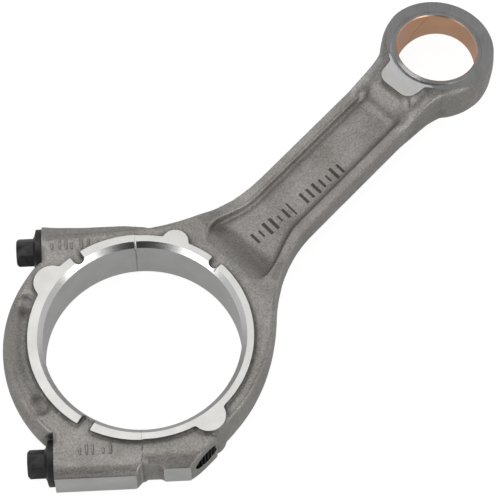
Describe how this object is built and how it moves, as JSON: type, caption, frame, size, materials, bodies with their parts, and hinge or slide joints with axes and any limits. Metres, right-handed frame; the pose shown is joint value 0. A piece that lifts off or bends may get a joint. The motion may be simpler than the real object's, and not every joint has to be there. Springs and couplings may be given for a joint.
{
  "type": "connecting rod",
  "caption": "Forged engine connecting rod with an I-section beam, tapered small end with a bronze bush, and an angle-split big end whose cap is held by flanged hexagon bolts.",
  "frame": {"origin": "middle of the bounding box in plan, on the surface that the rod lies on", "axes": "+X from the big end to the small end, +Z along both bores; the bolts lie at 45 degrees in the XY plane and their heads face -X and +Y"},
  "size_m": [0.2668, 0.1178, 0.0248],
  "materials": {
    "forged_steel": "shot-blasted forging with ground and bored faces left bright",
    "bronze": "fine-bored bearing bronze",
    "black_oxide_steel": "black oxide"
  },
  "bodies": {
    "rod": {"rod_body": "forged_steel", "pin_bush": "bronze"},
    "cap": {"bearing_cap": "forged_steel"},
    "bolt_upper": {"upper_bolt": "black_oxide_steel"},
    "bolt_lower": {"lower_bolt": "black_oxide_steel"}
  },
  "joints": [
    {"name": "cap_off", "type": "slide", "parent": "rod", "child": "cap", "axis": [-0.7071, 0.7071, 0], "range_m": [0, 0.06]},
    {"name": "upper_bolt_out", "type": "slide", "parent": "cap", "child": "bolt_upper", "axis": [-0.7071, 0.7071, 0], "range_m": [0, 0.06]},
    {"name": "lower_bolt_out", "type": "slide", "parent": "cap", "child": "bolt_lower", "axis": [-0.7071, 0.7071, 0], "range_m": [0, 0.06]}
  ]
}
